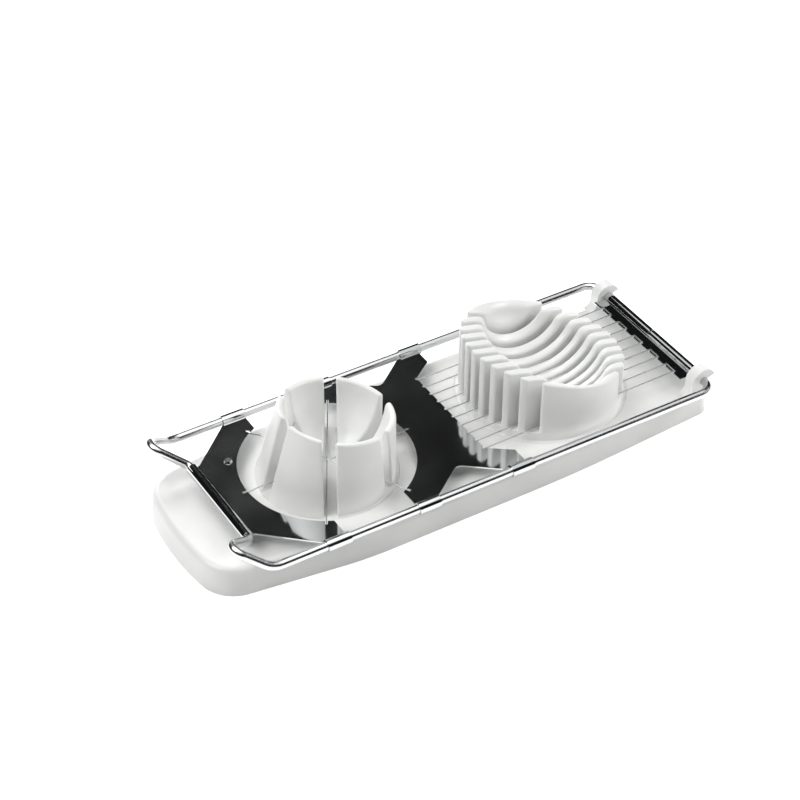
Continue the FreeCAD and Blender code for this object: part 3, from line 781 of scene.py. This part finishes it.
def aim(place, target):
    """The turn that points a lamp or a camera at a target."""
    return (Vector(target) - Vector(place)).to_track_quat("-Z", "Y").to_euler()


def seen_rays(tree):
    """One for rays that look at the background, straight or in steel, and zero for the rest."""
    path = add_node(tree, "ShaderNodeLightPath", {})
    first = add_node(tree, "ShaderNodeMath", {
        0: path.outputs["Is Camera Ray"], 1: path.outputs["Is Glossy Ray"]}, operation="MAXIMUM")
    both = add_node(tree, "ShaderNodeMath", {
        0: first.outputs[0], 1: path.outputs["Is Transmission Ray"]}, operation="MAXIMUM")
    return both.outputs[0]


def paper_floor(colour):
    """White studio paper that takes the shadow and looks white, straight or in steel."""
    material = new_material("paper_matt_white")
    tree = material.node_tree
    paper = add_node(tree, "ShaderNodeBsdfDiffuse", {"Color": (*colour, 1.0)})
    glow = add_node(tree, "ShaderNodeMath", {
        0: seen_rays(tree), 1: PAPER_GLOW}, operation="MULTIPLY")
    lift = add_node(tree, "ShaderNodeEmission", {"Color": WHITE, "Strength": glow.outputs[0]})
    shown = add_node(tree, "ShaderNodeAddShader", {0: paper.outputs[0], 1: lift.outputs[0]})
    add_node(tree, "ShaderNodeOutputMaterial", {"Surface": shown.outputs[0]})
    return material


def lay_floor(studio):
    """The plain pale floor just under the feet."""
    bpy.ops.object.select_all(action="DESELECT")
    bpy.ops.mesh.primitive_plane_add(size=studio.floor_width, location=(0.0, 0.0, -0.1 * MM))
    floor = bpy.context.object
    floor.name = "studio_floor"
    floor.data.materials.append(paper_floor(studio.floor_colour))


def hang_flag(studio):
    """A ring round the object that only mirror-like surfaces see; it glows a dim grey instead of
    being lit, and so paints dark reflections into the steel.
    """
    height = studio.flag_high - studio.flag_low
    bpy.ops.object.select_all(action="DESELECT")
    bpy.ops.mesh.primitive_cylinder_add(
        vertices=FLAG_SIDES, radius=studio.flag_radius, depth=height, end_fill_type="NOTHING",
        location=(0.0, 0.0, studio.flag_low + height / 2.0))
    flag = bpy.context.object
    flag.name = "studio_flag"
    flag.visible_camera = False
    flag.visible_diffuse = False
    flag.visible_shadow = False
    material = new_material("card_matt_black")
    tree = material.node_tree
    # The ring glows this dim grey rather than taking the lamps' light, so the dark that the steel
    # mirrors is a painted reflection.
    card = add_node(tree, "ShaderNodeEmission", {"Color": (*studio.painted_reflection_colour, 1.0)})
    add_node(tree, "ShaderNodeOutputMaterial", {"Surface": card.outputs[0]})
    flag.data.materials.append(material)


def hang_lamp(name, place, width, power):
    """A square soft box that faces the object."""
    bpy.ops.object.light_add(type="AREA", location=place, rotation=aim(place, LAMP_TARGET))
    lamp = bpy.context.object
    lamp.name = name
    lamp.data.size = width
    lamp.data.energy = power


def light_world(scene):
    """A white surround for the rays that look at it, which lights nothing else."""
    world = bpy.data.worlds.new("studio_surround")
    world.use_nodes = True
    tree = world.node_tree
    tree.nodes.clear()
    sky = add_node(tree, "ShaderNodeBackground", {"Color": WHITE, "Strength": seen_rays(tree)})
    add_node(tree, "ShaderNodeOutputWorld", {"Surface": sky.outputs[0]})
    scene.world = world


def place_camera(scene, studio):
    """The photograph's view, from the front left and above."""
    turn = aim(CAMERA_PLACE, CAMERA_PLACE + CAMERA_LOOK)
    bpy.ops.object.camera_add(location=CAMERA_PLACE, rotation=turn)
    camera = bpy.context.object
    camera.data.lens = studio.lens
    camera.data.sensor_width = SENSOR_WIDTH
    camera.data.clip_start = NEAREST_SEEN
    scene.camera = camera


class SLICER_OT_set_studio(bpy.types.Operator):
    """Lays the floor, hangs the lamps and the glowing dark ring that paints reflections in the steel,
    and places the camera
    """

    bl_idname = "slicer.set_studio"
    bl_label = "Set the studio"

    def execute(self, context):
        studio = context.scene.slicer_studio
        lay_floor(studio)
        hang_flag(studio)
        for side, (place, width) in SOFT_BOXES.items():
            hang_lamp(side + "_lamp", place, width, getattr(studio, side + "_power"))
        light_world(context.scene)
        place_camera(context.scene, studio)
        context.scene.view_settings.view_transform = "Standard"
        return {"FINISHED"}


OPERATORS = (
    SLICER_OT_mould_plastic,
    SLICER_OT_form_cup,
    SLICER_OT_form_bed,
    SLICER_OT_polish_rods,
    SLICER_OT_polish_sheets,
    SLICER_OT_draw_wires,
    SLICER_OT_set_studio,
)


class SLICER_PT_panel(bpy.types.Panel):
    """Lists the finishes, the studio and their operators"""

    bl_idname = "SLICER_PT_panel"
    bl_label = "Egg Slicer"
    bl_space_type = "VIEW_3D"
    bl_region_type = "UI"
    bl_category = "Egg Slicer"

    def draw(self, context):
        scene = context.scene
        for group in (scene.slicer_form, scene.slicer_finish, scene.slicer_studio):
            for name in group.__annotations__:
                self.layout.prop(group, name)
        for operator in OPERATORS:
            self.layout.operator(operator.bl_idname)


CLASSES = (SlicerForm, SlicerFinish, SlicerStudio, *OPERATORS, SLICER_PT_panel)


def register():
    for item in CLASSES:
        bpy.utils.register_class(item)
    bpy.types.Scene.slicer_form = bpy.props.PointerProperty(type=SlicerForm)
    bpy.types.Scene.slicer_finish = bpy.props.PointerProperty(type=SlicerFinish)
    bpy.types.Scene.slicer_studio = bpy.props.PointerProperty(type=SlicerStudio)


def unregister():
    del bpy.types.Scene.slicer_studio
    del bpy.types.Scene.slicer_finish
    del bpy.types.Scene.slicer_form
    for item in reversed(CLASSES):
        bpy.utils.unregister_class(item)


def main():
    register()
    bpy.ops.slicer.mould_plastic()
    bpy.ops.slicer.form_cup()
    bpy.ops.slicer.form_bed()
    bpy.ops.slicer.polish_rods()
    bpy.ops.slicer.polish_sheets()
    bpy.ops.slicer.draw_wires()
    bpy.ops.slicer.set_studio()


if __name__ == "__main__":
    main()
